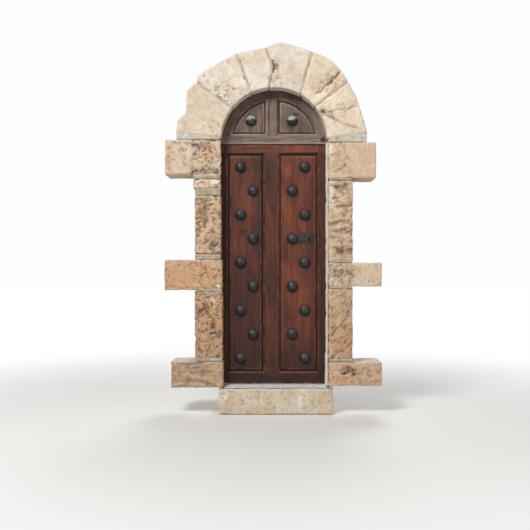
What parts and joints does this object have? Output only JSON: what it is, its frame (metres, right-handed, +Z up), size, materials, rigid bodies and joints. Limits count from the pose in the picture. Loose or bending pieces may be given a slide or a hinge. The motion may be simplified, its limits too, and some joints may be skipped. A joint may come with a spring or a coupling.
{
  "type": "arched wooden door with stone surround",
  "caption": "Round-arched, iron-studded wooden door: panelled leaf on strap hinges, fixed arched tympanum above, rim lock, in a rough limestone arch, jamb and sill surround.",
  "frame": {"origin": "middle of the sill stone's underside: midway across the arch opening, halfway through the depth of the stone", "axes": "+Z up; the outside face looks towards -Y; +X to the right seen from outside, towards the lock side"},
  "size_m": [1.814, 0.3, 3.1037],
  "materials": {
    "arch_stone": "pale honey limestone, weathered and pitted, arrises worn round",
    "jamb_stone": "honey to orange limestone, rough tooled, pitted and chiselled",
    "sill_stone": "pale yellow-beige limestone, dusty and worn",
    "grey_mortar": "grey cement mortar, sandy and ragged",
    "lime_plaster": "off-white lime plaster, trowelled",
    "leaf_wood": "red-brown stained softwood, vertical grain, satin, weathered",
    "tympanum_wood": "greyed purple-brown wood, dry and faded, pale edges",
    "frame_wood": "plain brown wood, unvarnished",
    "wrought_iron": "near-black forged iron, slightly pitted, soft sheen",
    "rusted_iron": "rust-brown iron, matt",
    "bright_iron": "worn iron, rubbed bright where it slides"
  },
  "bodies": {
    "surround": {"arch_mortar": "grey_mortar", "arched_rail_left": "tympanum_wood", "arched_rail_right": "tympanum_wood", "hinge_post": "frame_wood", "keystone": "arch_stone", "left_closer": "jamb_stone", "left_crown_voussoir": "arch_stone", "left_foot_quoin": "jamb_stone", "left_haunch_voussoir": "arch_stone", "left_impost_quoin": "jamb_stone", "left_jamb_mortar": "grey_mortar", "left_lower_upright": "jamb_stone", "left_middle_quoin": "jamb_stone", "left_springer": "arch_stone", "left_upper_upright": "jamb_stone", "lock_keeper": "wrought_iron", "lock_post": "frame_wood", "lower_pintle": "wrought_iron", "right_foot_quoin": "jamb_stone", "right_haunch_voussoir": "arch_stone", "right_impost_quoin": "jamb_stone", "right_jamb_mortar": "grey_mortar", "right_lower_upright": "jamb_stone", "right_middle_quoin": "jamb_stone", "right_reveal_plaster": "lime_plaster", "right_springer": "arch_stone", "right_upper_upright": "jamb_stone", "sill_stone": "sill_stone", "threshold_cement": "grey_mortar", "transom_bolt": "rusted_iron", "transom_rail": "tympanum_wood", "tympanum_moulding_left": "tympanum_wood", "tympanum_moulding_right": "tympanum_wood", "tympanum_muntin": "tympanum_wood", "tympanum_panel_left": "tympanum_wood", "tympanum_panel_right": "tympanum_wood", "tympanum_studs": "wrought_iron", "upper_pintle": "wrought_iron"},
    "leaf": {"hinge_stile": "leaf_wood", "lock_stile": "leaf_wood", "top_rail": "leaf_wood", "bottom_rail": "leaf_wood", "muntin": "leaf_wood", "leaf_panel_left": "leaf_wood", "leaf_panel_right": "leaf_wood", "leaf_moulding_left": "leaf_wood", "leaf_moulding_right": "leaf_wood", "leaf_studs": "wrought_iron", "escutcheon": "wrought_iron", "stile_nail": "wrought_iron", "lock_block": "frame_wood", "lock_case": "wrought_iron", "bolt_guides": "bright_iron", "tumbler_spring": "bright_iron", "upper_strap_hinge": "wrought_iron", "lower_strap_hinge": "wrought_iron", "strap_nails": "wrought_iron"},
    "lock_bolt": {"lock_bolt": "bright_iron"}
  },
  "joints": [
    {"name": "leaf_hinge", "type": "hinge", "parent": "surround", "child": "leaf", "pos_m": [-0.5, 0.03205, 1.2], "axis": [0, 0, 1], "range_deg": [0, 95]},
    {"name": "lock_bolt_slide", "type": "slide", "parent": "leaf", "child": "lock_bolt", "axis": [1, 0, 0], "range_m": [0, 0.022]}
  ]
}
